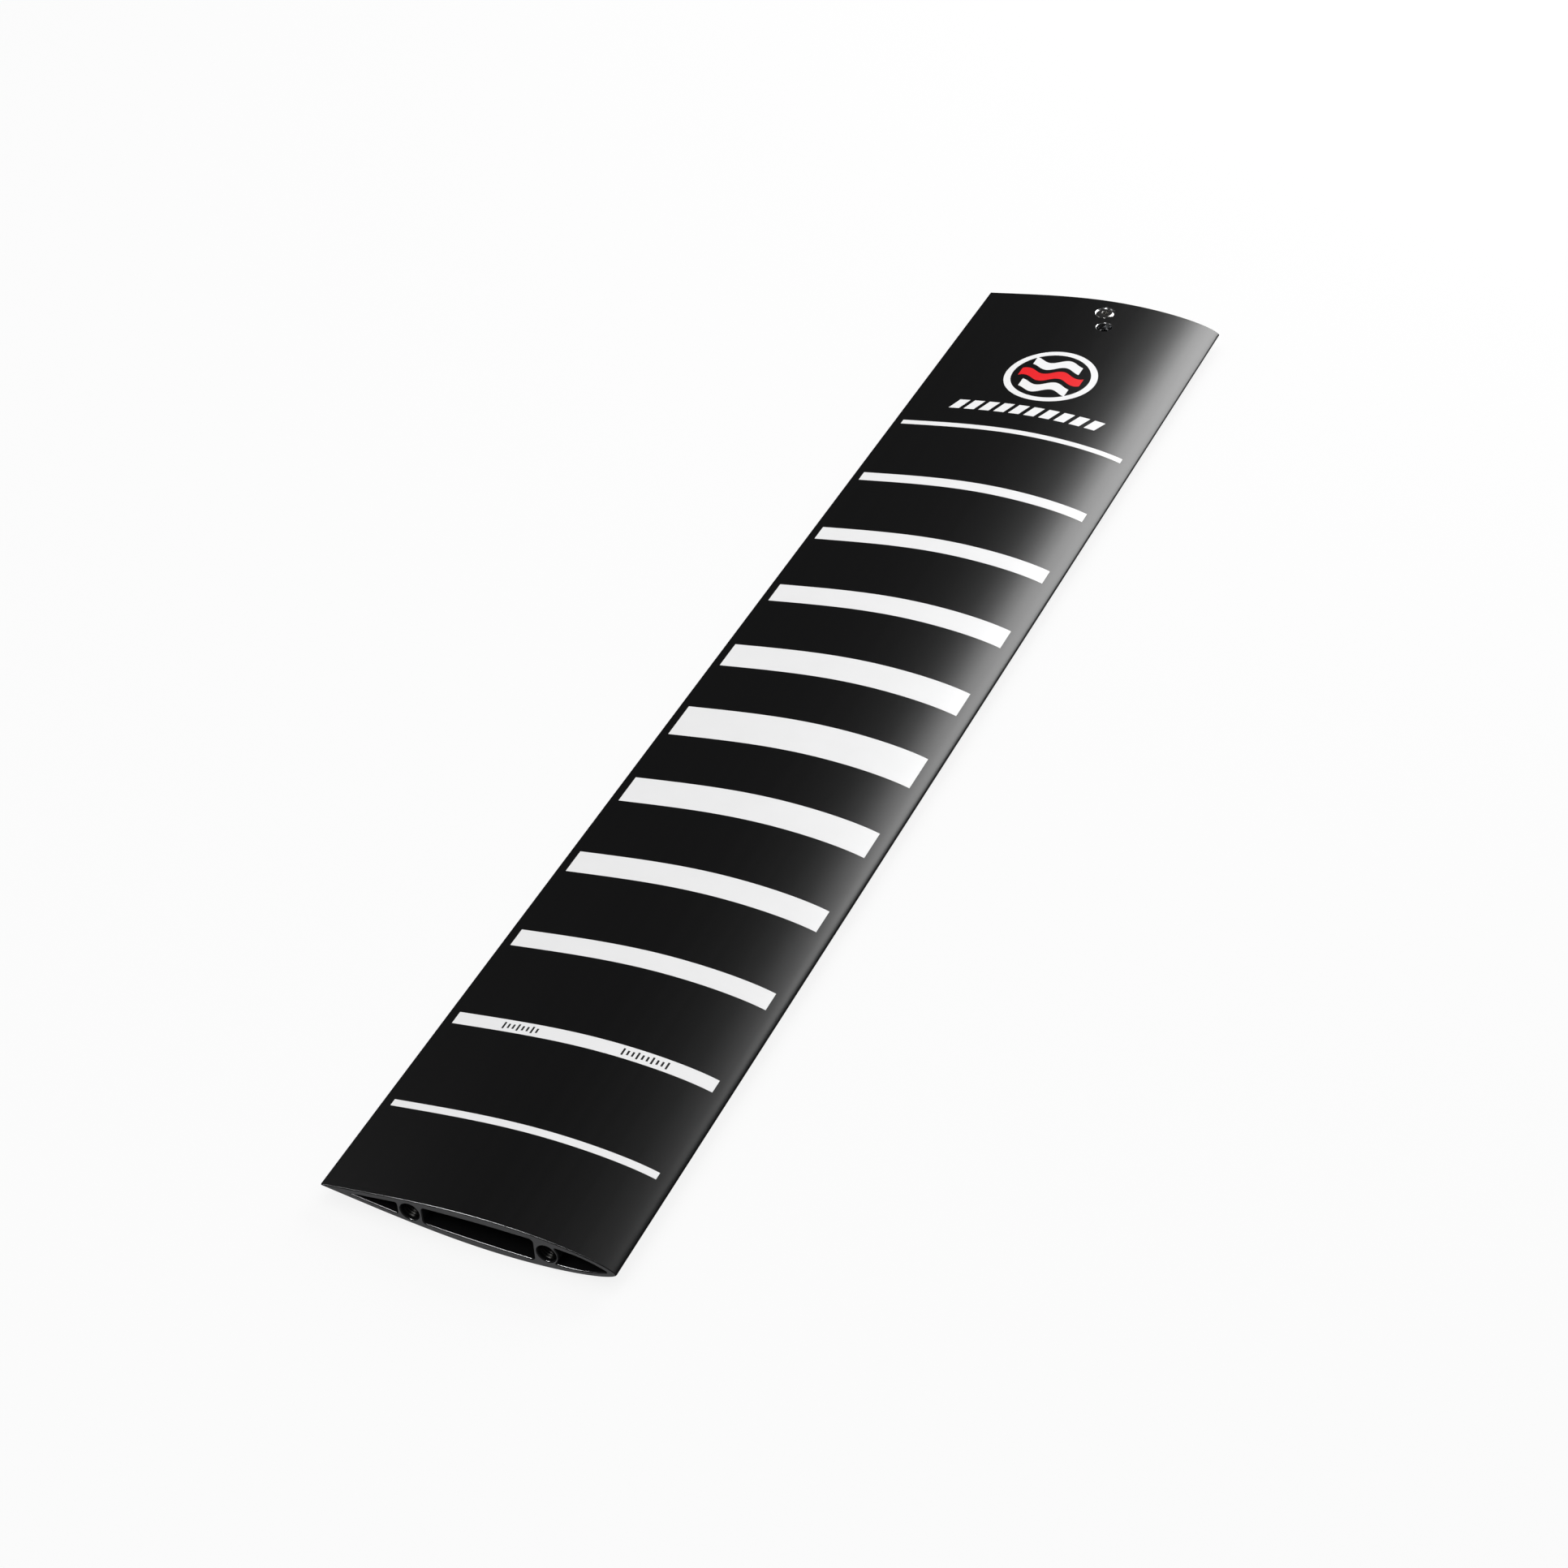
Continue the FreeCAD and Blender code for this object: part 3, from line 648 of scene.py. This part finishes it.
def socket_screw(name, profile, foot, across, depth, finish):
    """A spun body whose profile ends at the rim of its flat top, with a hexagon socket pushed into the top."""
    bm = spun(profile, foot, ROUND_STEPS)
    rim = [edge for edge in bm.edges if edge.is_boundary]
    hexagon = bmesh.ops.create_circle(
        bm, segments=6, radius=across / math.sqrt(3), cap_ends=False,
        matrix=Matrix.Translation((foot.x, foot.y, profile[-1][1])),
    )["verts"]
    sides = list({edge for vert in hexagon for edge in vert.link_edges})
    bmesh.ops.triangle_fill(bm, edges=rim + sides, use_beauty=True, normal=(0, 0, 1))
    wall = bmesh.ops.extrude_edge_only(bm, edges=sides)["geom"]
    deep = [item for item in wall if isinstance(item, bmesh.types.BMVert)]
    bmesh.ops.translate(bm, vec=(0, 0, -depth), verts=deep)
    floor_edges = [item for item in wall if isinstance(item, bmesh.types.BMEdge) and item.is_boundary]
    bottom = bmesh.ops.contextual_create(bm, geom=floor_edges)["faces"]
    bmesh.ops.recalc_face_normals(bm, faces=bm.faces)
    point = bmesh.ops.poke(bm, faces=bottom)["verts"]
    bmesh.ops.translate(bm, vec=(0, 0, -SOCKET_DRILL_POINT * across), verts=point)
    bevelled(bm, sides, SOCKET_EDGE, 2)
    return finish_piece(name, bm, [finish], SCREW_CRISP)


# %% Cross screw: a countersunk M5 with a domed crown, just below the skin
CROSS_PITCH, CROSS_THREAD = 0.8 * MM, 0.45 * MM
CROSS_ACROSS, CROSS_SOCKET = 3.0 * MM, 2.0 * MM
CROSS_BELOW_SKIN = 0.12 * MM
CROWN = ((0.12, 0.85), (0.10, 0.70), (0.24, 0.50), (0.50, 0.31), (0.90, 0.14), (1.40, 0.04), (2.0, 0))


def make_cross_screw():
    top = cross_skin - CROSS_BELOW_SKIN
    neck = top - SINK_DEPTH
    thread = thread_profile(SHANK_RADIUS, CROSS_THREAD, CROSS_PITCH, CROSS_BOTTOM + 0.5 * MM, neck - 0.3 * MM)
    profile = [
        (0, CROSS_BOTTOM), (SHANK_RADIUS - CROSS_THREAD, CROSS_BOTTOM), *thread,
        (SHANK_RADIUS, neck - 0.1 * MM), *rim_profile(HEAD_RADIUS, top, CROWN),
    ]
    return socket_screw(
        "cross_screw_turned", profile, CROSS_FOOT, CROSS_ACROSS, CROSS_SOCKET, STAINLESS,
    )


# %% Set screw: a headless M8 with a cup point
SET_PITCH, SET_THREAD = 1.25 * MM, 0.6 * MM
SET_ACROSS, SET_SOCKET = 4.0 * MM, 2.2 * MM
CUP_SHARE, CUP_DEPTH, CUP_LIP = 0.35, 0.8 * MM, 0.9 * MM
SET_RIM = ((0.03, 0.5), (0.15, 0.3), (0.35, 0.13), (0.7, 0))


def make_set_screw():
    cup = CUP_SHARE * SET_RADIUS
    thread = thread_profile(SET_RADIUS, SET_THREAD, SET_PITCH, SET_BOTTOM + 1.2 * MM, SET_TOP - 0.7 * MM)
    profile = [
        (0, SET_BOTTOM + CUP_DEPTH), (cup, SET_BOTTOM), (cup + CUP_LIP, SET_BOTTOM), *thread,
        *rim_profile(SET_RADIUS, SET_TOP, SET_RIM),
    ]
    return socket_screw(
        "set_screw_turned", profile, SET_FOOT, SET_ACROSS, SET_SOCKET, BLACK_OXIDE,
    )


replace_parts(make_cross_screw(), "cross_screw")
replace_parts(make_set_screw(), "set_screw")

# %% [markdown]
# ## The thread inserts
#
# A wire thread insert is a coil of diamond-section stainless wire, wound into the port so that the soft aluminium
# isn't the thread. A diamond of four points spun round the port's axis, and moved along by one pitch in each turn, is
# exactly that coil. The turns nearly touch, so from the mouth it looks like a finely ribbed bore. Its wire is painted
# much darker than stainless steel: painted shade for the dim inside of the port.

# %% Coil
COIL_PITCH, COIL_STEPS = 1.25 * MM, 32
COIL_INNER, COIL_CLEARANCE = 3.4 * MM, 0.03 * MM
WIRE_SHARE = 0.46
COIL_CRISP = 40


def make_coil(node_name):
    low, high = (Vector(corner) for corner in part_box(node_name))
    middle = (low + high) / 2
    half_radial = ((high.x - low.x) / 2 - COIL_CLEARANCE - COIL_INNER) / 2
    half_axial = WIRE_SHARE * COIL_PITCH
    turns = int((high.y - low.y - 2 * half_axial) / COIL_PITCH)
    start = Vector((middle.x + COIL_INNER + half_radial, low.y + half_axial, middle.z))
    bm = bmesh.new()
    corners = ((-half_radial, 0), (0, -half_axial), (half_radial, 0), (0, half_axial))
    section = bm.faces.new([bm.verts.new(start + Vector((radial, axial, 0))) for radial, axial in corners])
    bmesh.ops.spin(
        bm, geom=[section], cent=(middle.x, 0, middle.z), axis=(0, 1, 0),
        dvec=(0, COIL_PITCH / COIL_STEPS, 0), angle=2 * math.pi * turns, steps=turns * COIL_STEPS,
    )
    return finish_piece(node_name + "_coil", bm, [SHADE_DARKENED_WIRE], COIL_CRISP, node_name)


for end in ("open_end", "head_end"):
    for place in ("rear", "front"):
        make_coil("thread_insert_" + end + "_" + place)

# %% [markdown]
# ## The head block
#
# The block inside the head end is milled aluminium. Its CAD shape is right and only its end face shows, so it keeps
# its shape and gets a bare milled finish: bright metal with the arcs that a face mill leaves.

# %% Milled block finish
def milled_block():
    material, shader = principled("milled_block", (0.52, 0.53, 0.54), 0.32, 1.0)
    vary_sheen(material, shader, FINE_GRAIN, 900.0, 0.26, 0.4)
    raise_relief(material, shader, MILL_ARCS, 320.0, 20 * MICRON)
    return material


# %% [markdown]
# ## The films
#
# The bands, emblem and ticks are thin films let into the skin. Their CAD shapes are already right, so they stay, and
# only get a finish. A print is never quite even, so a broad, very faint noise varies its colour and sheen.

# %% Film finishes
def film(name, colour, darker, rough_low, rough_high):
    material, shader = principled(name, colour, rough_low)
    tree = material.node_tree
    mix = node(tree, "ShaderNodeMix", data_type="RGBA")
    mix.inputs["A"].default_value = (*darker, 1)
    mix.inputs["B"].default_value = (*colour, 1)
    tree.links.new(use_group(material, FINE_GRAIN, Scale=60.0), mix.inputs["Factor"])
    tree.links.new(mix.outputs["Result"], shader.inputs["Base Color"])
    vary_sheen(material, shader, FINE_GRAIN, 420.0, rough_low, rough_high)
    raise_relief(material, shader, FINE_GRAIN, 2400.0, 6 * MICRON)
    return material


WHITE_FILM = film("white_film", (0.84, 0.84, 0.845), (0.80, 0.80, 0.80), 0.34, 0.46)
RED_FILM = film("red_film", (0.80, 0.013, 0.018), (0.72, 0.011, 0.016), 0.34, 0.46)
BLACK_FILM = film("black_film", (0.006, 0.006, 0.006), (0.01, 0.01, 0.01), 0.40, 0.5)

# %% Give the CAD pieces their finishes
FINISH_BY_NAME = (
    # the first name that a node's own name starts with decides its finish
    ("head_block", milled_block()),
    ("depth_band", WHITE_FILM),
    ("emblem_red", RED_FILM),
    ("emblem", WHITE_FILM),
    ("length_marks", BLACK_FILM),
)

for name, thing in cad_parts.items():
    for start, finish in FINISH_BY_NAME:
        if name.startswith(start):
            thing.data.materials.clear()
            thing.data.materials.append(finish)
            break
